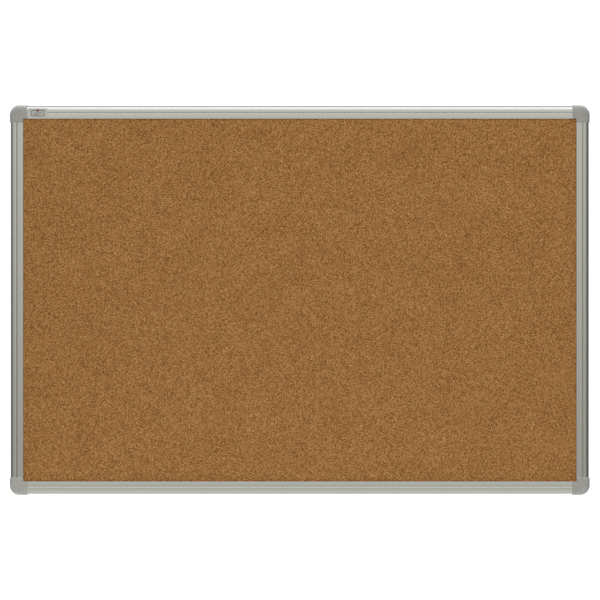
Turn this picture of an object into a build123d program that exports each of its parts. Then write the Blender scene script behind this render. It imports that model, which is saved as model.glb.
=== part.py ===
from build123d import *
from math import sqrt
import os

# A framed cork bulletin board. +X runs along its width, +Z is up and the cork faces -Y.
# The wall plane is Y = 0, and the origin is the centre of the four wall-screw holes there.
# "Inset" is a distance in from the outside edge of the frame, "depth" a distance back from
# the front face of the rails.

# Driving dimensions, in millimetres
panel_width = 900.0
panel_height = 600.0
panel_edge_inset = 6.0  # from the outside of the frame to the nominal panel edge
rail_face = 20.0  # width of the rail as seen from the front
frame_depth = 20.0

# Panel
cork_depth = 2.6  # how far the cork lies behind the rails' front face
cork_thickness = 2.0
core_thickness = 7.0
backing_thickness = 0.5
panel_gap = 0.3  # slack between the panel's edge and the rail's web
panel_crop = 20.0  # legs of the 45 degree crop that clears the corner bases

# Rail section
outer_wall = 1.2
front_wall = 1.3
inner_wall = 1.1
crown_drop = 1.6  # fall of the bowed outer half of the face, before its corner is rounded
rail_corner_radius = 2.2
groove_outer = 9.2
groove_floor_outer = 9.4
groove_floor_inner = 9.5
groove_inner = 10.6
groove_depth = 0.6
chamber_top = 2.6
chamber_width = 3.6
channel_height = 3.6
channel_width = 8.8
slot_clearance = 0.1
middle_flange_reach = 8.0
hook_height = 1.2
lip_radius = 0.5

# Corner base
base_radius = 13.75
base_front = 1.0
base_edge_round = 2.0
screw_inset = 11.0
screw_hole_radius = 2.5
screw_head_radius = 4.8
boss_radius = 4.9
pocket_wall = 1.6
pocket_depth = 3.0
rib_width = 1.4
socket_radius = 2.0
socket_depth = 9.2
peg_insets = ((15.4, 4.9), (4.9, 15.4))
tongue_gap = 0.15
blade_length = 26.0
tongue_length = 34.0
tongue_tip = 1.0
inner_fillet = 1.7

# Corner cover
cover_proud = 1.25  # beyond the outside of the rails
cover_front = 1.6  # in front of the rails
cover_gap = 0.3  # between the cover's plate and the rails
cover_side_gap = 0.25
cover_inner_edge = 19.9
cover_reach = 25.95
cover_radius = 15.0
cover_bow_drop = 1.4  # fall of its bowed edge, which is as wide as the rails' own bow
cover_edge_round = 2.8
cover_inside_round = 2.5
cover_lip_round = 1.0
cover_wall_gap = 0.4  # from the wall to the cover's rear edge
peg_radius = 1.9
peg_length = 8.8
peg_chamfer = 0.5

# Rail screws, 2.2 x 4.5 pan head
screw_radius = 1.1
screw_length = 4.5
screw_cone = 1.2
screw_pan_radius = 2.0
screw_pan_height = 1.5
screw_pan_round = 0.8
screw_clearance = 0.15
recess_width = 0.6
recess_span = 2.2
recess_depth = 0.9
rail_screw_reach = 12.0  # from the end of the rail
rail_screw_inset = 10.4

# Label badge
badge_width = 30.8
badge_height = 15.8
badge_inset = 3.6
badge_from_cover = 1.65
badge_thickness = 0.6
badge_radius = 1.5
badge_edge_round = 0.3

# Derived sizes
frame_width = panel_width + 2 * panel_edge_inset
frame_height = panel_height + 2 * panel_edge_inset
half_width = frame_width / 2
half_height = frame_height / 2
front = -frame_depth
panel_back = cork_depth + cork_thickness + core_thickness + backing_thickness
slot_back = panel_back + slot_clearance
channel_front = slot_back + inner_wall
channel_back = channel_front + channel_height
flange_back = channel_back + inner_wall
channel_inner = panel_edge_inset + channel_width
cover_centre = cover_radius - cover_proud  # inset of the middle of the corner's rounding
beyond = 5.0  # how far a cutting shape runs past what it cuts


def block(low, high):
    """A box between two opposite corners."""
    size = [b - a for a, b in zip(low, high)]
    centre = [(a + b) / 2 for a, b in zip(low, high)]
    return Pos(*centre) * Box(*size)


def section_box(inset_low, inset_high, depth_low, depth_high):
    """A rectangle in the rail section, X as inset and Y as depth."""
    centre = ((inset_low + inset_high) / 2, (depth_low + depth_high) / 2)
    return Pos(*centre) * Rectangle(inset_high - inset_low, depth_high - depth_low)


def bow(outside, depth, drop):
    """The arc that falls from a flat face at the groove's inset to the outside edge."""
    radius = ((groove_outer - outside) ** 2 + drop**2) / (2 * drop)
    middle = (outside + groove_outer) / 2
    sag = radius - sqrt(radius**2 - (groove_outer - middle) ** 2)
    return ThreePointArc((outside, depth + drop), (middle, depth + sag), (groove_outer, depth))


def rail_outline():
    """The outside of the rail section, with its bowed outer half and its groove."""
    points = [
        (groove_outer, 0),
        (groove_floor_outer, groove_depth),
        (groove_floor_inner, groove_depth),
        (groove_inner, 0),
        (rail_face, 0),
        (rail_face, frame_depth),
        (0, frame_depth),
        (0, crown_drop),
    ]
    outline = make_face(Polyline(*points) + bow(0, 0, crown_drop))
    corners = outline.vertices().filter_by_position(Axis.X, -0.1, 0.1).sort_by(Axis.Y)
    outline = fillet(corners[0], rail_corner_radius)
    lip = outline.vertices().filter_by_position(Axis.X, rail_face - 0.1, rail_face + 0.1)
    return fillet(lip.sort_by(Axis.Y)[0], lip_radius)


def rail_section():
    """The hollow extrusion: chamber, panel slot, rear channel and the recess for screw heads."""
    inner = rail_face + beyond
    lip = rail_face - outer_wall
    hook = channel_inner + outer_wall
    section = rail_outline()
    section -= section_box(outer_wall, outer_wall + chamber_width, chamber_top, channel_back)
    section -= section_box(panel_edge_inset, lip, front_wall, cork_depth + slot_clearance)
    section -= section_box(panel_edge_inset, inner, cork_depth, slot_back)
    section -= section_box(
        panel_edge_inset + middle_flange_reach, inner, slot_back - slot_clearance, channel_front
    )
    section -= section_box(panel_edge_inset, channel_inner, channel_front, channel_back)
    section -= section_box(channel_inner - 1, inner, channel_front, channel_back - hook_height)
    section -= section_box(hook, inner, channel_front, frame_depth + beyond)
    section -= section_box(outer_wall, inner, flange_back, frame_depth + beyond)
    return section


def rail(length):
    """A rail lying along +X from its own end, inset along +Z, depth along +Y."""
    profile = Plane(origin=(0, front, 0), x_dir=(0, 0, 1), z_dir=(-1, 0, 0)) * rail_section()
    body = extrude(profile, amount=-length)
    for place in (rail_screw_reach, length - rail_screw_reach):
        hole = Cylinder(screw_radius + screw_clearance, inner_wall + 2)
        middle = front + (channel_back + flange_back) / 2
        body -= Pos(place, middle, rail_screw_inset) * Rot(90, 0, 0) * hole
    return body


def along_depth(sketch, depth_low, depth_high):
    """Extrude a corner sketch, X and Y as the two insets, between two depths."""
    plane = Plane(origin=(0, front + depth_low, 0), x_dir=(1, 0, 0), z_dir=(0, -1, 0))
    return extrude(plane * sketch, amount=depth_low - depth_high)


def corner_square(low, high, radius, inner_cut=None):
    """A square or an L in the two insets, with its outside corner rounded."""
    shape = section_box(low, high, low, high)
    if inner_cut is not None:
        shape -= section_box(inner_cut, high + beyond, inner_cut, high + beyond)
    return fillet(shape.vertices().sort_by(SortBy.DISTANCE)[0], radius)


def base_tongues():
    """The flat tongue and the upright blade that reach into one rail, along X."""
    start = rail_face - 2
    tongue = block(
        (start, front + channel_front + tongue_gap, panel_edge_inset + tongue_gap),
        (rail_face + tongue_length, front + channel_back - tongue_gap, channel_inner - tongue_gap),
    )
    tongue = chamfer(tongue.faces().sort_by(Axis.X)[-1].edges(), tongue_tip)
    blade = block(
        (start, front + chamber_top + tongue_gap, outer_wall + tongue_gap),
        (
            rail_face + blade_length,
            front + channel_back - tongue_gap,
            outer_wall + chamber_width - tongue_gap,
        ),
    )
    blade = chamfer(blade.faces().sort_by(Axis.X)[-1].edges(), tongue_tip)
    middle = front + (channel_front + channel_back) / 2
    pilot = Cylinder(screw_radius + 0.02, channel_height + 2)
    place = (rail_face + rail_screw_reach, middle, rail_screw_inset)
    return tongue - Pos(*place) * Rot(90, 0, 0) * pilot + blade


def swap_insets(part):
    """The same shape along the other side of the corner."""
    return mirror(part, about=Plane(origin=(0, 0, 0), x_dir=(0, 1, 0), z_dir=(1, 0, -1)))


def corner_base():
    """The structural corner at the bottom left, its insets along +X and +Z."""
    body = along_depth(corner_square(0, rail_face, base_radius), base_front, frame_depth)
    outer_rim = [
        edge
        for edge in body.faces().sort_by(Axis.Y)[0].edges()
        if edge.center().X < rail_face - 0.5 and edge.center().Z < rail_face - 0.5
    ]
    body = fillet(outer_rim, base_edge_round)

    # Room for the cropped corner of the panel, between a front plate and a rear plate
    crop_line = 2 * panel_edge_inset + panel_crop - rail_face
    crop = make_face(
        Polyline(
            (rail_face, crop_line),
            (rail_face + beyond, crop_line - beyond),
            (rail_face + beyond, rail_face + beyond),
            (crop_line - beyond, rail_face + beyond),
            (crop_line, rail_face),
            close=True,
        )
    )
    body -= along_depth(crop, cork_depth, slot_back)

    tongues = base_tongues()
    body += tongues
    body += swap_insets(tongues)

    # Relief behind, around the boss and between the ribs
    relief = corner_square(pocket_wall, rail_face - pocket_wall, base_radius - pocket_wall)
    relief -= Pos(screw_inset, screw_inset) * Circle(boss_radius)
    relief -= Pos(screw_inset, screw_inset) * Rot(0, 0, 45) * Rectangle(50, rib_width)
    relief -= Pos(screw_inset, screw_inset) * Rot(0, 0, -45) * Rectangle(50, rib_width)
    body -= along_depth(relief, frame_depth - pocket_depth, frame_depth + beyond)

    # Wall-screw hole with its countersink, and the sockets for the cover's pegs
    hole = Pos(screw_inset, screw_inset) * Circle(screw_hole_radius)
    body -= along_depth(hole, base_front - beyond, frame_depth + beyond)
    sink_depth = screw_head_radius - screw_hole_radius
    sink = Cone(screw_hole_radius, screw_head_radius, sink_depth)
    sink_middle = front + base_front + sink_depth / 2
    body -= Pos(screw_inset, sink_middle, screw_inset) * Rot(90, 0, 0) * sink
    for inset_x, inset_z in peg_insets:
        socket = Pos(inset_x, inset_z) * Circle(socket_radius)
        body -= along_depth(socket, base_front - beyond, base_front + socket_depth)
    return body


def bow_waste(outside, depth, drop, edge_round):
    """What bowing and rounding a cover's outer edge takes off, all round the corner."""
    far = depth + drop + edge_round + 1
    rest = [(groove_outer, depth), (groove_outer, far), (outside, far), (outside, depth + drop)]
    kept = make_face(bow(outside, depth, drop) + Polyline(*rest))
    waste = section_box(outside - beyond, groove_outer, depth - beyond, far)
    waste -= fillet(kept.vertices().sort_by_distance((outside, depth + drop))[0], edge_round)

    # Straight along both sides, and turned about the middle of the corner's own rounding
    plane = Plane(origin=(cover_centre, front, 0), x_dir=(0, 0, 1), z_dir=(-1, 0, 0))
    straight = extrude(plane * waste, amount=-(cover_reach + 2 * beyond - cover_centre))
    turned = revolve(plane * waste, Axis((cover_centre, 0, cover_centre), (0, 1, 0)), 90)
    return straight + swap_insets(straight) + turned


def corner_cover():
    """The moulded cover that pushes over the bottom left corner from the front."""
    outline = corner_square(-cover_proud, cover_reach, cover_radius, cover_inner_edge)
    notch = outline.vertices().sort_by_distance((cover_inner_edge, cover_inner_edge))[0]
    outline = fillet(notch, inner_fillet)
    rear = frame_depth - cover_wall_gap
    body = along_depth(outline, -cover_front, rear)
    body -= bow_waste(-cover_proud, -cover_front, cover_bow_drop, cover_edge_round)
    over_the_rails = [
        edge
        for edge in body.edges()
        if max(edge.center().X, edge.center().Z) > cover_reach - 0.01
        and edge.center().Y < front + cover_bow_drop
    ]
    beside_the_cork = [
        edge
        for edge in body.faces().sort_by(Axis.Y)[0].edges()
        if min(edge.center().X, edge.center().Z) > cover_inner_edge - 1.5
    ]
    body = fillet(over_the_rails + beside_the_cork, cover_lip_round)

    # The hollow that takes the corner base and the ends of the two rails
    inner_corner = -cover_side_gap
    hollow = corner_square(inner_corner, cover_reach + beyond, cover_centre + cover_side_gap)
    core = along_depth(hollow, -cover_gap, frame_depth + beyond)
    body -= core - bow_waste(inner_corner, -cover_gap, crown_drop, cover_inside_round)

    # The foot behind the round inside corner, which hides the joint of the two rails
    near = rail_face + cover_side_gap
    far = cover_inner_edge + inner_fillet
    foot = section_box(near, far, near, far) - Pos(far, far) * Circle(inner_fillet)
    body += along_depth(foot, -cover_gap - 0.5, cork_depth - cover_side_gap)

    for inset_x, inset_z in peg_insets:
        pin = Cylinder(peg_radius, peg_length)
        pin = chamfer(pin.edges().sort_by(Axis.Z)[-1], peg_chamfer)
        middle = front - cover_gap + peg_length / 2
        body += Pos(inset_x, middle, inset_z) * Rot(-90, 0, 0) * pin
    return body


def rail_screw():
    """A pan head screw along +Y, its head behind the plane Y = 0."""
    head = Pos(0, screw_pan_height / 2, 0) * Rot(-90, 0, 0) * Cylinder(
        screw_pan_radius, screw_pan_height
    )
    head = fillet(head.edges().sort_by(Axis.Y)[-1], screw_pan_round)
    straight = screw_length - screw_cone
    shank = Pos(0, -straight / 2, 0) * Rot(90, 0, 0) * Cylinder(screw_radius, straight)
    tip = Pos(0, -straight - screw_cone / 2, 0) * Rot(90, 0, 0) * Cone(
        screw_radius, 0.2, screw_cone
    )
    screw = head + shank + tip
    for turn in (0, 90):
        slot = block(
            (-recess_span / 2, screw_pan_height - recess_depth, -recess_width / 2),
            (recess_span / 2, screw_pan_height + 1, recess_width / 2),
        )
        screw -= Rot(0, turn, 0) * slot
    return screw


def panel_layer(depth_low, thickness):
    """One full-size sheet of the panel with its corners cropped."""
    across = panel_width - 2 * panel_gap
    up = panel_height - 2 * panel_gap
    legs = panel_crop - panel_gap
    outline = Rectangle(across, up)
    outline = chamfer(outline.vertices(), legs)
    plane = Plane(origin=(0, front + depth_low, 0), x_dir=(1, 0, 0), z_dir=(0, -1, 0))
    return extrude(plane * outline, amount=-thickness)


def label_badge():
    """A small blank badge that bridges the groove of the top rail, its back fitted to the rail."""
    left = -half_width + cover_reach + badge_from_cover
    plate = RectangleRounded(badge_width, badge_height, badge_radius)
    centre = (left + badge_width / 2, half_height - badge_inset - badge_height / 2)
    plane = Plane(
        origin=(centre[0], front - badge_thickness, centre[1]), x_dir=(1, 0, 0), z_dir=(0, -1, 0)
    )
    badge = extrude(plane * plate, amount=-(badge_thickness + crown_drop))
    badge = fillet(badge.faces().sort_by(Axis.Y)[0].edges(), badge_edge_round)
    filled = rail_outline() + section_box(groove_outer - 1, groove_inner + 1, 0, groove_depth + 1)
    profile = Plane(origin=(left - beyond, front, half_height), x_dir=(0, 0, -1), z_dir=(1, 0, 0))
    badge -= extrude(profile * filled, amount=badge_width + 2 * beyond)
    return badge


def save(part, node):
    export_step(part, f"parts/{node}.step")


# Where each corner lies, and the quarter turn about Y that brings the bottom left corner there
corner_places = {
    "bottom_left": ((-half_width, 0, -half_height), 0),
    "bottom_right": ((half_width, 0, -half_height), -90),
    "top_right": ((half_width, 0, half_height), 180),
    "top_left": ((-half_width, 0, half_height), 90),
}
# Each rail starts at the corner named, in the order of the turns above
rail_places = {
    "bottom_rail": ("bottom_left", frame_width),
    "right_rail": ("bottom_right", frame_height),
    "top_rail": ("top_right", frame_width),
    "left_rail": ("top_left", frame_height),
}


def at_corner(part, corner):
    place, turn = corner_places[corner]
    return Pos(*place) * Rot(0, turn, 0) * part


os.makedirs("parts", exist_ok=True)

for node, (corner, side) in rail_places.items():
    length = side - 2 * rail_face
    save(at_corner(Pos(rail_face, 0, 0) * rail(length), corner), node)

base = corner_base()
cover = corner_cover()
for corner in corner_places:
    save(at_corner(base, corner), f"corner_base_{corner}")
    save(at_corner(cover, corner), f"corner_cover_{corner}")

screw = rail_screw()
head_seat = front + flange_back
along = rail_face + rail_screw_reach
seats = [(along, head_seat, rail_screw_inset), (rail_screw_inset, head_seat, along)]
screws = [at_corner(Pos(*seat) * screw, corner) for corner in corner_places for seat in seats]
save(Compound(children=screws), "rail_screws")

save(panel_layer(cork_depth, cork_thickness), "cork_sheet")
save(panel_layer(cork_depth + cork_thickness, core_thickness), "softboard_core")
save(panel_layer(panel_back - backing_thickness, backing_thickness), "backing_sheet")
save(label_badge(), "label_badge")
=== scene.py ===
import math
import bmesh
import bpy
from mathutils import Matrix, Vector


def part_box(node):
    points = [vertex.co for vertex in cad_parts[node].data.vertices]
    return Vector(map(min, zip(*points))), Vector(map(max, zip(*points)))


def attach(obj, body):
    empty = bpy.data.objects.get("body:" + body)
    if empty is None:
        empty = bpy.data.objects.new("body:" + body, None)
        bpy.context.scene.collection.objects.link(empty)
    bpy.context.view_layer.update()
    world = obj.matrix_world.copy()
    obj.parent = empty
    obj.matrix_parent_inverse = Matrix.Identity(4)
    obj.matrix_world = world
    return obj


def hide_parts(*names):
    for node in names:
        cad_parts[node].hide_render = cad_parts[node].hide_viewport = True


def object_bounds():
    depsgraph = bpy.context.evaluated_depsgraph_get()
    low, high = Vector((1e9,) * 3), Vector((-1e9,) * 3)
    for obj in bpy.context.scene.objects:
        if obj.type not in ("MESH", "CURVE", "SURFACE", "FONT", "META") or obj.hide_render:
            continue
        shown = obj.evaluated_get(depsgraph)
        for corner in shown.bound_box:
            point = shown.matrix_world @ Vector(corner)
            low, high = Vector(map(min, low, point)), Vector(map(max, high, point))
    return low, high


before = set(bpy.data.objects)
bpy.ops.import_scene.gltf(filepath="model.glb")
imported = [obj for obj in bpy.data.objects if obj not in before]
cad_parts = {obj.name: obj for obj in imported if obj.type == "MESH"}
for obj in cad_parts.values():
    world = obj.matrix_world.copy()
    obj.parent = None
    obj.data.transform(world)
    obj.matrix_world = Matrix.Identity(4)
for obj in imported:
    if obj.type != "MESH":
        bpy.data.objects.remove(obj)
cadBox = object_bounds()
mm = 0.001
railLow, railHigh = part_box("top_rail")
frontPlane = railLow.y  # front face of the rails
halfHeight = railHigh.z  # outside of the frame, without the covers
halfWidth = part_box("right_rail")[1].x
alongX = Vector((1, 0, 0))
alongY = Vector((0, 1, 0))
alongZ = Vector((0, 0, 1))
print("frame loaded:", len(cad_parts), "nodes")


class Wire:  # one output of a shader node; arithmetic on it adds Math nodes
    def __init__(self, tree, socket=None):
        self.tree = tree
        self.socket = socket

    def node(self, kind, settings=None, sockets=None, out=0):
        made = self.tree.nodes.new(kind)
        for name, value in (settings or {}).items():
            if name == "stops":
                self.setStops(made.color_ramp, value)
            else:
                setattr(made, name, value)
        for name, value in (sockets or {}).items():
            if isinstance(value, Wire):
                self.tree.links.new(value.socket, made.inputs[name])
            else:
                made.inputs[name].default_value = value
        return Wire(self.tree, made.outputs[out] if len(made.outputs) else None)

    def setStops(self, ramp, stops):
        while len(ramp.elements) < len(stops):
            ramp.elements.new(0.5)
        for element, (place, tint) in zip(ramp.elements, stops):
            element.position = place
            element.color = tint

    def other(self, name):  # another output of the same node
        return Wire(self.tree, self.socket.node.outputs[name])

    def maths(self, operation, *values):
        return self.node("ShaderNodeMath", {"operation": operation}, dict(enumerate(values)))

    def __add__(self, value):
        return self.maths("ADD", self, value)

    def __sub__(self, value):
        return self.maths("SUBTRACT", self, value)

    def __rsub__(self, value):
        return self.maths("SUBTRACT", value, self)

    def __mul__(self, value):
        return self.maths("MULTIPLY", self, value)

    def __abs__(self):
        return self.maths("ABSOLUTE", self)

    def between(self, low, high):  # 0 below low, 1 above high, smooth on the way
        sockets = {"Value": self, "From Min": low, "From Max": high}
        return self.node("ShaderNodeMapRange", {"interpolation_type": "SMOOTHSTEP"}, sockets)

    def mix(self, first, second):  # from the first colour to the second
        sockets = {0: self, 6: first, 7: second}
        return self.node("ShaderNodeMix", {"data_type": "RGBA"}, sockets, out=2)

    def ramp(self, stops):  # colours at their places between 0 and 1
        return self.node("ShaderNodeValToRGB", {"stops": stops}, {"Fac": self})

    def vectorMaths(self, operation, *others, out=0):
        sockets = dict(enumerate((self, *others)))
        return self.node("ShaderNodeVectorMath", {"operation": operation}, sockets, out)

    __radd__ = __add__
    __rmul__ = __mul__


def colour(red, green, blue):  # a screen colour, 0 to 255, in the shader's own scale
    straight = []
    for part in (red, green, blue):
        share = part / 255
        straight.append(share / 12.92 if share < 0.04045 else ((share + 0.055) / 1.055) ** 2.4)
    return (*straight, 1.0)


def shaded(tint, share):  # the same colour, lighter or darker
    return (*[min(1.0, part * share) for part in tint[:3]], 1.0)


class Finish:  # one material, with its shader and the object's own coordinates
    def __init__(self, name, metallic=0.0, roughness=0.5):
        self.material = bpy.data.materials.new(name)
        self.material.use_nodes = True
        self.shader = self.material.node_tree.nodes["Principled BSDF"]
        self.wire = Wire(self.material.node_tree)
        self.place = self.wire.node("ShaderNodeTexCoord").other("Object")
        self.split = self.wire.node("ShaderNodeSeparateXYZ", {}, {0: self.place})
        self.set("Metallic", metallic)
        self.set("Roughness", roughness)

    def set(self, name, value):
        if isinstance(value, Wire):
            value.tree.links.new(value.socket, self.shader.inputs[name])
        else:
            self.shader.inputs[name].default_value = value

    def bump(self, height, depth):
        sockets = {"Height": height, "Distance": depth}
        self.set("Normal", self.wire.node("ShaderNodeBump", {}, sockets))

    def grid(self, size):  # position counted in grains
        sizes = size if isinstance(size, (list, tuple)) else [size] * 3
        return self.place.vectorMaths("DIVIDE", sizes)

    def noise(self, size, detail=2, rough=0.5):  # one size, or one for each direction
        sockets = {"Vector": self.grid(size), "Scale": 1.0, "Detail": detail, "Roughness": rough}
        return self.wire.node("ShaderNodeTexNoise", {}, sockets)

    def cells(self, size):  # a random value for each cell
        found = self.wire.node("ShaderNodeTexVoronoi", {}, self.cellSockets(size))
        return self.wire.node("ShaderNodeSeparateColor", {}, {0: found.other("Color")})

    def cellEdges(self, size):  # distance to the edge of the cell, in grains
        settings = {"feature": "DISTANCE_TO_EDGE"}
        found = self.wire.node("ShaderNodeTexVoronoi", settings, self.cellSockets(size))
        return found.other("Distance")

    def cellSockets(self, size):
        return {"Vector": self.grid(size), "Scale": 1.0}


meshing = {
    "weld": 1e-7,  # points this close become one
    "sharp": math.radians(28),  # edges that turn further stay sharp
    "cornerSteps": 5,
}


def finishMesh(name, shape, finish):
    bmesh.ops.remove_doubles(shape, verts=shape.verts, dist=meshing["weld"])
    bmesh.ops.recalc_face_normals(shape, faces=shape.faces)
    for face in shape.faces:
        face.smooth = True
    for edge in shape.edges:
        edge.smooth = len(edge.link_faces) == 2 and edge.calc_face_angle(0) < meshing["sharp"]
    mesh = bpy.data.meshes.new(name)
    shape.to_mesh(mesh)
    shape.free()
    mesh.materials.append(finish.material)
    piece = bpy.data.objects.new(name, mesh)
    bpy.context.scene.collection.objects.link(piece)
    return piece


def arcPoints(centre, radius, start, end, count):  # angles in degrees
    points = []
    for step in range(count + 1):
        angle = math.radians(start + (end - start) * step / count)
        points.append((centre[0] + radius * math.cos(angle), centre[1] + radius * math.sin(angle)))
    return points


def circlePoints(centre, radius, sides):
    return arcPoints(centre, radius, 0, 360 - 360 / sides, sides - 1)


def roundCorners(corners):  # corners are (x, y, radius), and a radius of 0 keeps one sharp
    steps = meshing["cornerSteps"]
    points = []
    for index, (x, y, radius) in enumerate(corners):
        here = Vector((x, y))
        if radius == 0:
            points.append((x, y))
            continue
        before = (Vector(corners[index - 1][:2]) - here).normalized()
        after = (Vector(corners[(index + 1) % len(corners)][:2]) - here).normalized()
        half = before.angle(after) / 2
        centre = here + (before + after).normalized() * radius / math.sin(half)
        first = here + before * radius / math.tan(half) - centre
        last = here + after * radius / math.tan(half) - centre
        for step in range(steps + 1):
            spoke = first.lerp(last, step / steps).normalized() * radius
            points.append(tuple(centre + spoke))
    return points


def sweepLoops(shape, loops, start, end):  # start and end turn a point of the section into a place
    ends = ([], [])
    for loop in loops:
        rings = [[shape.verts.new(place(x, y)) for x, y in loop] for place in (start, end)]
        for i in range(len(loop)):
            shape.faces.new((rings[0][i - 1], rings[0][i], rings[1][i], rings[1][i - 1]))
        for edges, ring in zip(ends, rings):
            edges += [shape.edges.get((ring[i], ring[i - 1])) for i in range(len(ring))]
    for edges in ends:
        bmesh.ops.triangle_fill(shape, use_beauty=True, use_dissolve=False, edges=edges)


shot = {
    "lens": 100.0,
    "sensor": 36.0,
    "across": 946.0 * mm,  # width of the view at the front face of the rails
    "aimX": 0.3 * mm,
    "aimZ": 0.1 * mm,
}


def placeCamera():
    data = bpy.data.cameras.new("productCamera")
    data.lens = shot["lens"]
    data.sensor_width = shot["sensor"]
    camera = bpy.data.objects.new("productCamera", data)
    away = shot["across"] * shot["lens"] / shot["sensor"]
    camera.location = (shot["aimX"], frontPlane - away, shot["aimZ"])
    camera.rotation_euler = (math.radians(90), 0, 0)
    bpy.context.scene.collection.objects.link(camera)
    bpy.context.scene.camera = camera


placeCamera()
print("camera placed")

room = {
    # sine of the elevation, glow of the room there, and its tint
    "glow": [
        (-1.0, 0.50, (1.0, 1.0, 0.99)),
        (-0.96, 0.95, (1.0, 1.0, 0.99)),
        (-0.84, 0.95, (1.0, 1.0, 0.99)),
        (-0.76, 0.50, (1.0, 1.0, 0.98)),
        (-0.60, 0.60, (1.0, 1.0, 0.98)),
        (-0.48, 0.63, (1.0, 1.0, 0.98)),
        (-0.37, 0.57, (1.0, 1.0, 0.98)),
        (-0.25, 0.53, (1.0, 1.0, 0.97)),
        (-0.11, 0.43, (1.0, 0.985, 0.94)),
        (0.11, 0.65, (1.0, 1.0, 0.96)),
        (0.33, 0.58, (0.985, 1.0, 0.97)),
        (0.40, 0.58, (0.98, 1.0, 0.98)),
        (0.44, 1.38, (0.97, 1.0, 1.0)),
        (0.66, 1.38, (0.97, 1.0, 1.0)),
        (0.72, 0.35, (0.96, 0.99, 1.0)),
        (1.0, 0.22, (0.97, 1.0, 1.0)),
    ],
    # dark flags beside the board: sines of the sideways angles, and of the upward ones
    "flagSide": (0.50, 0.58, 0.84, 0.99),
    "flagShift": 0.03,
    "flagHeight": (0.14, 0.26),
    "flagGlow": 0.07,
    "flagEnd": 0.55,  # how much of the flag is left at the far side
    "behind": (0.1, 0.4),  # sines between which the room behind the board dims
    "behindShare": 0.6,
    "backdrop": 1.05,
}


def paintRoom():
    world = bpy.data.worlds.new("softStudio")
    world.use_nodes = True
    bpy.context.scene.world = world
    world.node_tree.nodes.clear()
    wire = Wire(world.node_tree)
    ray = wire.node("ShaderNodeTexCoord").other("Generated")
    sideways = wire.node("ShaderNodeSeparateXYZ", {}, {0: ray})
    backward = sideways.other("Y")
    upward = sideways.other("Z")
    brightest = max(level for sine, level, tint in room["glow"])
    stops = []
    for sine, level, tint in room["glow"]:
        stops.append(((sine + 1) / 2, shaded(tint, level / brightest)))
    glow = (upward * 0.5 + 0.5).ramp(stops)
    start, full, fading, end = room["flagSide"]
    away = abs(sideways + room["flagShift"])
    flag = away.between(start, full)
    flag = flag * (1 - away.between(fading, end) * (1 - room["flagEnd"]))
    flag = flag * (1 - abs(upward).between(*room["flagHeight"]))
    dark = shaded((1, 1, 1), room["flagGlow"] / brightest)
    dimming = backward.between(*room["behind"]) * (room["behindShare"] - 1)
    strength = brightest * (1 + dimming)
    lit = wire.node("ShaderNodeBackground", {}, {0: flag.mix(glow, dark), 1: strength})
    white = wire.node("ShaderNodeBackground", {}, {0: (1, 1, 1, 1), 1: room["backdrop"]})
    seen = wire.node("ShaderNodeLightPath").other("Is Camera Ray")
    sky = wire.node("ShaderNodeMixShader", {}, {0: seen, 1: lit, 2: white})
    wire.node("ShaderNodeOutputWorld", {}, {"Surface": sky})


lamps = {
    "keyLight": {  # soft light beside the camera
        "place": (0.2, -2.6, 1.1),
        "aim": (0, 0, 0),
        "size": (1.2, 0.9),
        "power": 35.6,
        "shadows": True,
    },
    "topLight": {  # strip light just behind the top edge
        "place": (0.0, 0.05, 0.95),
        "aim": (0, 0, halfHeight),
        "size": (1.5, 0.1),
        "power": 30.0,
        "shadows": False,
    },
    "backLight": {  # soft light on the wall side
        "place": (-0.6, 2.4, 0.9),
        "aim": (0, 0, 0),
        "size": (1.2, 0.9),
        "power": 34.0,
        "shadows": True,
    },
}


def hangLamp(name, lamp):
    data = bpy.data.lights.new(name, "AREA")
    data.shape = "RECTANGLE"
    data.size, data.size_y = lamp["size"]
    data.energy = lamp["power"]
    data.use_shadow = lamp["shadows"]
    light = bpy.data.objects.new(name, data)
    light.location = lamp["place"]
    beam = Vector(lamp["aim"]) - Vector(lamp["place"])
    light.rotation_euler = beam.to_track_quat("-Z", "Y").to_euler()
    light.visible_glossy = False  # the metal mirrors the room, not the lamps
    bpy.context.scene.collection.objects.link(light)


ground = {
    "drop": 460 * mm,  # below the lowest point of the board
    "solid": 700 * mm,  # from the middle to where it begins to fade
    "clear": 1323 * mm,
    "reach": 1350 * mm,
    "sides": 48,
    "grain": 400 * mm,
    "dark": colour(236, 236, 234),
    "light": colour(244, 244, 243),
    "roughness": 0.8,
}


def layFloor():
    paint = Finish("paleFloor", roughness=ground["roughness"])
    grain = paint.noise(ground["grain"], detail=3)
    paint.set("Base Color", grain.mix(ground["dark"], ground["light"]))
    away = paint.place.vectorMaths("MULTIPLY", (1, 1, 0)).vectorMaths("LENGTH", out="Value")
    paint.set("Alpha", 1 - away.between(ground["solid"], ground["clear"]))
    level = cadBox[0].z - ground["drop"]
    shape = bmesh.new()
    rim = circlePoints((0, 0), ground["reach"], ground["sides"])
    shape.faces.new([shape.verts.new((x, y, level)) for x, y in rim])
    floor = finishMesh("floor", shape, paint)
    floor.visible_glossy = False  # the metal mirrors the room, not the floor


paintRoom()
for name, lamp in lamps.items():
    hangLamp(name, lamp)
layFloor()
bpy.context.scene.view_settings.view_transform = "Standard"
print("studio lit")

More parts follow.
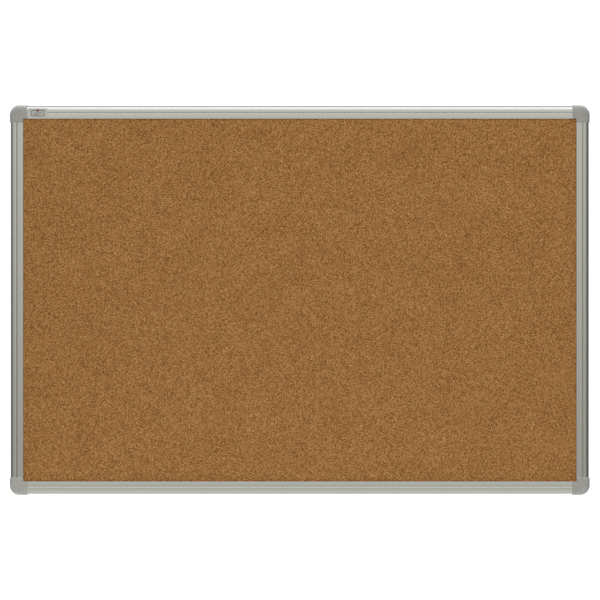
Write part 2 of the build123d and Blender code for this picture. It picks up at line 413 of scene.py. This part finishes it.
rail = {
    "face": 20 * mm,
    "deep": 20 * mm,
    "outerWall": 1.2 * mm,
    "frontWall": 1.3 * mm,
    "innerWall": 1.1 * mm,
    "web": 6.0 * mm,
    "crownDrop": 1.6 * mm,
    "cornerRadius": 2.2 * mm,
    "cornerSteps": 8,
    "bowSteps": 14,
    "bowEnd": 269.5,  # degrees; a short flat joins the bow to the groove
    "groove": (9.2 * mm, 9.4 * mm, 9.5 * mm, 10.6 * mm),  # outer edge, floor, floor, inner edge
    "grooveDeep": 0.6 * mm,
    "lip": 2.6 * mm,
    "lipRadius": 0.5 * mm,
    "slotBack": 12.2 * mm,
    "channelDeep": 3.6 * mm,
    "channelInner": 14.8 * mm,
    "middleReach": 14.0 * mm,
    "hook": 1.2 * mm,
    "chamberTop": 2.6 * mm,
    "chamberWide": 3.6 * mm,
    "edge": 0.15 * mm,  # rounding that the die leaves on every small corner
    "holeRadius": 1.25 * mm,
    "holeReach": 12 * mm,  # from the end of the rail
    "holeInset": 10.4 * mm,
    "holeSides": 24,
    "drillDeep": 4.32 * mm,
    # centre and size of the texture box, far off, so that the brushing keeps to one direction
    "acrossBox": ((0, 9, 0), (1000, 10, 10)),
    "uprightBox": ((-9, 9, 0), (10, 10, 10)),
}


def railLoops():  # the section, as distances in from the outside and back from the front
    edge = rail["edge"]
    grooveOuter, floorOuter, floorInner, grooveInner = rail["groove"]
    grooveDeep = rail["grooveDeep"]
    corner = rail["cornerRadius"]
    drop = rail["crownDrop"]
    bow = (grooveOuter ** 2 + drop ** 2) / (2 * drop)  # radius of the bowed half
    cornerY = bow - math.sqrt((bow - corner) ** 2 - (grooveOuter - corner) ** 2)
    meet = math.degrees(math.atan2(cornerY - bow, corner - grooveOuter)) % 360
    middleFront = rail["slotBack"] + rail["innerWall"]
    channelBack = middleFront + rail["channelDeep"]
    flangeBack = channelBack + rail["innerWall"]
    hookIn = rail["channelInner"] + rail["outerWall"]
    lipIn = rail["face"] - rail["outerWall"]
    bowed = arcPoints((corner, cornerY), corner, 180, meet, rail["cornerSteps"])
    bowed += arcPoints((grooveOuter, bow), bow, meet, rail["bowEnd"], rail["bowSteps"])[1:]
    corners = [
        (grooveOuter, 0, 0),
        (floorOuter, grooveDeep, edge / 2),
        (floorInner, grooveDeep, edge / 2),
        (grooveInner, 0, edge),
        (rail["face"], 0, rail["lipRadius"]),
        (rail["face"], rail["lip"], edge),
        (lipIn, rail["lip"], edge),
        (lipIn, rail["frontWall"], edge),
        (rail["web"], rail["frontWall"], edge),
        (rail["web"], rail["slotBack"], edge),
        (rail["middleReach"], rail["slotBack"], edge),
        (rail["middleReach"], middleFront, edge),
        (rail["web"], middleFront, edge),
        (rail["web"], channelBack, edge),
        (rail["channelInner"], channelBack, edge),
        (rail["channelInner"], channelBack - rail["hook"], edge),
        (hookIn, channelBack - rail["hook"], edge),
        (hookIn, flangeBack, edge),
        (rail["outerWall"], flangeBack, edge),
        (rail["outerWall"], rail["deep"], edge),
        (0, rail["deep"], edge),
        (0, cornerY, 0),  # where the bowed part began, so it is dropped below
    ]
    near = rail["outerWall"]
    far = near + rail["chamberWide"]
    top = rail["chamberTop"]
    chamber = [(near, top), (far, top), (far, channelBack), (near, channelBack)]
    chamber = [(x, y, edge) for x, y in chamber]
    return [bowed + roundCorners(corners)[:-1], roundCorners(chamber)]


def cutHoles(piece, holes):  # round holes along Y through a finished mesh
    shape = bmesh.new()
    for middle in holes:
        turn = alongY.to_track_quat("Z", "Y").to_matrix().to_4x4()
        turn.translation = middle
        bmesh.ops.create_cone(
            shape,
            cap_ends=True,
            segments=rail["holeSides"],
            radius1=rail["holeRadius"],
            radius2=rail["holeRadius"],
            depth=rail["drillDeep"],
            matrix=turn,
        )
    mesh = bpy.data.meshes.new("drill")
    shape.to_mesh(mesh)
    shape.free()
    drill = bpy.data.objects.new("drill", mesh)
    bpy.context.scene.collection.objects.link(drill)
    cut = piece.modifiers.new("screwHoles", "BOOLEAN")
    cut.object = drill
    cut.operation = "DIFFERENCE"
    cut.solver = "EXACT"
    bpy.context.view_layer.update()
    whole = piece.data
    drilled = piece.evaluated_get(bpy.context.evaluated_depsgraph_get())
    piece.data = bpy.data.meshes.new_from_object(drilled)
    piece.data.name = piece.name
    piece.modifiers.clear()
    bpy.data.objects.remove(drill)
    bpy.data.meshes.remove(whole)


def railEnd(end, inward):  # turns a point of the section into its place at one end of a rail
    return lambda x, y: end + inward * x + alongY * y


def buildRail(node, along, inward, metal):
    low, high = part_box(node)
    middle = (low + high) / 2
    half = along * abs((high - low).dot(along)) / 2
    outside = middle - inward * abs((high - low).dot(inward)) / 2
    outside.y = low.y
    first, last = outside - half, outside + half
    shape = bmesh.new()
    sweepLoops(shape, railLoops(), railEnd(first, inward), railEnd(last, inward))
    piece = finishMesh(node + "_extrusion", shape, metal)
    seat = inward * rail["holeInset"] + alongY * (rail["deep"] - rail["channelDeep"] / 2)
    reach = along * rail["holeReach"]
    cutHoles(piece, [first + reach + seat, last - reach + seat])
    centre, size = rail["uprightBox"] if along.z else rail["acrossBox"]
    piece.data.use_auto_texspace = False
    piece.data.texspace_location = centre
    piece.data.texspace_size = size
    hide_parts(node)
    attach(piece, "framed_board")


anodising = {
    "dark": colour(222, 222, 214),
    "light": colour(238, 238, 231),
    # painted shade: a darker colour for the groove, standing in for its shadow
    "groovePaintedShade": colour(206, 205, 198),
    "uprightPaintedShade": 0.88,  # painted shade: the upright rails are coloured a little darker than the rails across
    "stretch": 0.75,  # how far the brushing draws out a highlight
    "acrossTurn": 0.25,
    "uprightTurn": 0.0,
    "line": (0.22 * mm, 500 * mm),  # width and length of one drawing line
    "band": (1.6 * mm, 900 * mm),
    "cloud": 60 * mm,
    "grooveBlur": 0.1 * mm,
    "faceDeep": (1.0 * mm, 1.2 * mm),  # the groove's painted shade ends this far behind the front
    "roughness": 0.13,
    "unevenness": 0.04,
    "relief": 0.02 * mm,
}


def anodised(name, along):
    upright = bool(along.z)
    metal = Finish(name, metallic=1.0)
    metal.set("Anisotropic", anodising["stretch"])
    metal.set("Anisotropic Rotation", anodising["uprightTurn" if upright else "acrossTurn"])
    grains = []
    for wide, long in (anodising["line"], anodising["band"]):
        grains.append([long if part else wide for part in along])
    lines = metal.noise(grains[0], detail=3, rough=0.6)
    bands = metal.noise(grains[1])
    cloud = metal.noise(anodising["cloud"], detail=3)
    tone = 0.5 * lines + 0.25 * bands + 0.25 * cloud
    # painted shade: the upright rails get a darker copy of the colour
    share = anodising["uprightPaintedShade"] if upright else 1.0
    faceTone = tone.mix(shaded(anodising["dark"], share), shaded(anodising["light"], share))
    outside = halfWidth if upright else halfHeight
    inset = outside - abs(metal.split.other("X" if upright else "Z"))
    blur = anodising["grooveBlur"]
    outer, inner = rail["groove"][0], rail["groove"][2]
    # painted shade: the groove's walls and floor are coloured darker, as if in shadow
    groovePaintedShade = inset.between(outer - blur, outer + blur) * (1 - inset.between(inner, inner + blur))
    faceEnd = [frontPlane + deep for deep in anodising["faceDeep"]]
    atFront = 1 - metal.split.other("Y").between(*faceEnd)
    metal.set("Base Color", (groovePaintedShade * atFront).mix(faceTone, anodising["groovePaintedShade"]))
    metal.set("Roughness", anodising["roughness"] + anodising["unevenness"] * (bands + lines))
    metal.bump(lines + 0.4 * bands, anodising["relief"])
    return metal


# the upright copy of the finish carries painted shade
acrossMetal = anodised("anodisedAcross", alongX)
uprightMetal = anodised("anodisedUpright", alongZ)
buildRail("top_rail", alongX, -alongZ, acrossMetal)
buildRail("bottom_rail", alongX, alongZ, acrossMetal)
buildRail("left_rail", alongZ, alongX, uprightMetal)
buildRail("right_rail", alongZ, -alongX, uprightMetal)
print("rails extruded and drilled")

sheet = {
    "crop": 19.7 * mm,  # legs of the corners cut off at 45 degrees
    "edge": 0.12 * mm,  # bevel of the cut edge
}


def buildSheet(node, finish):
    low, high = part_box(node)
    crop, edge = sheet["crop"], sheet["edge"]
    outline = []
    for cornerX, cornerZ in ((high.x, high.z), (low.x, high.z), (low.x, low.z), (high.x, low.z)):
        turnX = math.copysign(crop, cornerX)
        turnZ = math.copysign(crop, cornerZ)
        pair = [(cornerX, cornerZ - turnZ), (cornerX - turnX, cornerZ)]
        outline += pair if turnX * turnZ > 0 else pair[::-1]
    shape = bmesh.new()
    rings = []
    for shrink, y in ((edge, low.y), (0, low.y + edge), (0, high.y - edge), (edge, high.y)):
        scaleX, scaleZ = 1 - shrink / high.x, 1 - shrink / high.z
        rings.append([shape.verts.new((x * scaleX, y, z * scaleZ)) for x, z in outline])
    for ring, nextRing in zip(rings, rings[1:]):
        for i in range(len(outline)):
            shape.faces.new((ring[i - 1], ring[i], nextRing[i], nextRing[i - 1]))
    shape.faces.new(rings[0])
    shape.faces.new(rings[-1])
    piece = finishMesh(node + "_cut", shape, finish)
    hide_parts(node)
    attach(piece, "framed_board")


cork = {
    "granule": 0.85 * mm,
    "crumb": 0.45 * mm,
    "cloud": 50 * mm,
    "seam": 0.14,  # width of the dark line between granules, as a share of one
    "shares": {"granule": 0.72, "crumb": 0.28, "cloud": 0.08, "seam": 0.14},
    "colours": [
        (0.02, colour(66, 28, 4)),
        (0.16, colour(98, 54, 16)),
        (0.35, colour(132, 86, 38)),
        (0.60, colour(160, 113, 61)),
        (0.80, colour(183, 138, 87)),
        (1.00, colour(219, 178, 131)),
    ],
    "gloss": 0.25,
    "roughness": 0.80,
    "unevenness": 0.15,
    "relief": 0.10 * mm,
}


def corkGrain():
    grain = Finish("corkGrain")
    grain.set("Specular IOR Level", cork["gloss"])
    granule = grain.cells(cork["granule"])
    crumb = grain.cells(cork["crumb"])
    seam = 1 - grain.cellEdges(cork["granule"]).between(0.0, cork["seam"])
    cloud = grain.noise(cork["cloud"]) - 0.5
    shares = cork["shares"]
    tone = shares["granule"] * granule + shares["crumb"] * crumb
    tone = tone + shares["cloud"] * cloud - shares["seam"] * seam
    grain.set("Base Color", tone.ramp(cork["colours"]))
    grain.set("Roughness", cork["roughness"] + cork["unevenness"] * crumb)
    grain.bump(granule * 0.6 + crumb * 0.3 - seam, cork["relief"])
    return grain


softFibre = {
    "dark": colour(168, 148, 112),
    "light": colour(206, 188, 154),
    "strand": 1.2 * mm,
    "relief": 0.15 * mm,
}
kraftBoard = {
    "dark": colour(150, 118, 82),
    "light": colour(182, 150, 110),
    "strand": 0.7 * mm,
    "relief": 0.03 * mm,
}
fibre = {
    "length": 7,  # of a strand, in its own widths
    "cloud": 40 * mm,
    "contrast": (0.32, 0.68),
    "roughness": 0.74,
    "unevenness": 0.2,
}


def pressedFibre(name, stock):
    board = Finish(name)
    strand = stock["strand"]
    length = strand * fibre["length"]
    across = board.noise((length, strand, strand), detail=4, rough=0.7)
    upward = board.noise((strand, strand, length), detail=4, rough=0.7)
    cloud = board.noise(fibre["cloud"], detail=3)
    tone = 0.4 * across + 0.4 * upward + 0.2 * cloud
    board.set("Base Color", tone.between(*fibre["contrast"]).mix(stock["dark"], stock["light"]))
    board.set("Roughness", fibre["roughness"] + fibre["unevenness"] * across)
    board.bump(across + upward, stock["relief"])
    return board


buildSheet("cork_sheet", corkGrain())
buildSheet("softboard_core", pressedFibre("softFibre", softFibre))
buildSheet("backing_sheet", pressedFibre("kraftBoard", kraftBoard))
print("panel laid up")

covers = {
    "colour": colour(159, 157, 153),
    # painted light and shade: each cover is coloured lighter or darker, the lower ones lighter, as
    # if lit more
    "paintedLight": {"top_left": 1.0, "top_right": 0.96, "bottom_left": 1.28, "bottom_right": 1.14},
    "metallic": 0.5,  # silver lacquer
    "roughness": 0.25,
    "relief": 0.015 * mm,
}
bases = {
    "colour": colour(92, 93, 94),
    "metallic": 0.0,
    "roughness": 0.55,
    "relief": 0.03 * mm,
}
moulding = {
    "refraction": 1.8,
    "spark": 0.35 * mm,  # grain left by the spark-eroded mould
    "cloud": 12 * mm,
    "spread": 0.10,  # lighter and darker than the colour by this share
    "unevenness": 0.12,
}


def mouldedPlastic(name, look, share=1.0):
    plastic = Finish(name, metallic=look["metallic"])
    plastic.set("IOR", moulding["refraction"])
    spark = plastic.noise(moulding["spark"], rough=0.6)
    cloud = plastic.noise(moulding["cloud"], detail=3)
    tone = 0.6 * spark + 0.4 * cloud
    tint = shaded(look["colour"], share)
    spread, unevenness = moulding["spread"], moulding["unevenness"]
    plastic.set("Base Color", tone.mix(shaded(tint, 1 - spread), shaded(tint, 1 + spread)))
    plastic.set("Roughness", look["roughness"] - unevenness / 2 + unevenness * spark)
    plastic.bump(spark, look["relief"])
    return plastic


def dress(node, finish):  # gives a frame piece its material
    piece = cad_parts[node]
    piece.data.materials.clear()
    piece.data.materials.append(finish.material)


baseGrey = mouldedPlastic("baseGrey", bases)
# painted light: each cover's colour is scaled by the share for its corner
for corner, share in covers["paintedLight"].items():
    dress("corner_cover_" + corner, mouldedPlastic("coverSilver_" + corner, covers, share))
    dress("corner_base_" + corner, baseGrey)
print("corners finished")

zinc = {
    "dark": colour(190, 192, 196),
    "light": colour(222, 220, 206),
    "bloom": 1.5 * mm,
    "grit": 0.2 * mm,
    "roughness": 0.28,
    "unevenness": 0.2,
    "relief": 0.01 * mm,
}


def zincPlate():
    plate = Finish("zincPlate", metallic=1.0)
    bloom = plate.noise(zinc["bloom"], detail=3)
    plate.set("Base Color", bloom.mix(zinc["dark"], zinc["light"]))
    plate.set("Roughness", zinc["roughness"] + zinc["unevenness"] * bloom)
    plate.bump(plate.noise(zinc["grit"]), zinc["relief"])
    return plate


dress("rail_screws", zincPlate())
print("screws plated")

badge = {
    "colour": colour(188, 188, 181),
    "metallic": 0.55,
    "border": 0.9 * mm,
    "borderBlur": 0.1 * mm,
    "borderShare": 1.15,
    "faceShares": (0.94, 1.04),
    "grain": (20 * mm, 0.3 * mm, 0.3 * mm),
    "roughness": 0.34,
    "unevenness": 0.1,
    "relief": 0.03 * mm,
}


def silverLabel():
    label = Finish("silverLabel", metallic=badge["metallic"])
    low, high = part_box("label_badge")
    middle = (low + high) / 2
    rims = []
    for name, centre, end in (("X", middle.x, high.x), ("Z", middle.z, high.z)):
        away = abs(label.split.other(name) - centre)
        start = end - centre - badge["border"]
        rims.append(away.between(start - badge["borderBlur"], start))
    rim = rims[0].maths("MAXIMUM", rims[0], rims[1])
    grain = label.noise(badge["grain"], detail=3)
    face = grain.mix(*[shaded(badge["colour"], share) for share in badge["faceShares"]])
    label.set("Base Color", rim.mix(face, shaded(badge["colour"], badge["borderShare"])))
    label.set("Roughness", badge["roughness"] + badge["unevenness"] * grain)
    label.bump(rim + 0.1 * grain, badge["relief"])
    return label


printing = {
    "note": (20.0 * mm, 9.4 * mm),
    "noteRadius": 1.2 * mm,
    "noteInnerRadius": 0.5 * mm,
    "line": 0.9 * mm,
    "bars": (12.0 * mm, 7.0 * mm),
    "barRadius": 0.3 * mm,
    "barRaise": 0.52 * mm,  # of the upper bar above the middle
    "barGap": 2.6 * mm,
    "pinRadius": 1.9 * mm,
    "pinDrop": 0.6 * mm,  # below the note's upper edge
    "pinSides": 24,
    "proud": 0.05 * mm,
    "ink": colour(70, 71, 70),
    "red": colour(150, 50, 52),
    "speck": 0.25 * mm,
    "roughness": 0.4,
    "unevenness": 0.15,
}


def printInk(name, tint):
    ink = Finish(name)
    speck = ink.noise(printing["speck"])
    ink.set("Base Color", speck.mix(shaded(tint, 0.9), shaded(tint, 1.1)))
    ink.set("Roughness", printing["roughness"] + printing["unevenness"] * speck)
    return ink


def printShape(shape, loops):  # flat shapes raised a little above the badge
    low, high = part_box("label_badge")
    middle = (low + high) / 2
    backY = low.y + printing["proud"]
    frontY = low.y - printing["proud"]
    sweepLoops(
        shape,
        loops,
        lambda x, z: (middle.x + x, backY, middle.z + z),
        lambda x, z: (middle.x + x, frontY, middle.z + z),
    )


def block(width, height, radius, x=0.0, z=0.0):
    right, top = width / 2, height / 2
    corners = ((right, top), (-right, top), (-right, -top), (right, -top))
    return roundCorners([(x + cornerX, z + cornerZ, radius) for cornerX, cornerZ in corners])


def printBadge():
    wide, high = printing["note"]
    line = printing["line"]
    note = bmesh.new()
    outer = block(wide, high, printing["noteRadius"])
    inner = block(wide - 2 * line, high - 2 * line, printing["noteInnerRadius"])
    printShape(note, [outer, inner])
    longest = printing["bars"][0]
    for row, length in enumerate(printing["bars"]):
        left = (length - longest) / 2
        height = printing["barRaise"] - row * printing["barGap"]
        printShape(note, [block(length, line, printing["barRadius"], left, height)])
    pin = bmesh.new()
    pinPlace = (0, high / 2 - printing["pinDrop"])
    printShape(pin, [circlePoints(pinPlace, printing["pinRadius"], printing["pinSides"])])
    for name, shape, tint in (("badge_note", note, "ink"), ("badge_pin", pin, "red")):
        piece = finishMesh(name, shape, printInk(name + "_ink", printing[tint]))
        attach(piece, "framed_board")


dress("label_badge", silverLabel())
printBadge()
print("badge printed")
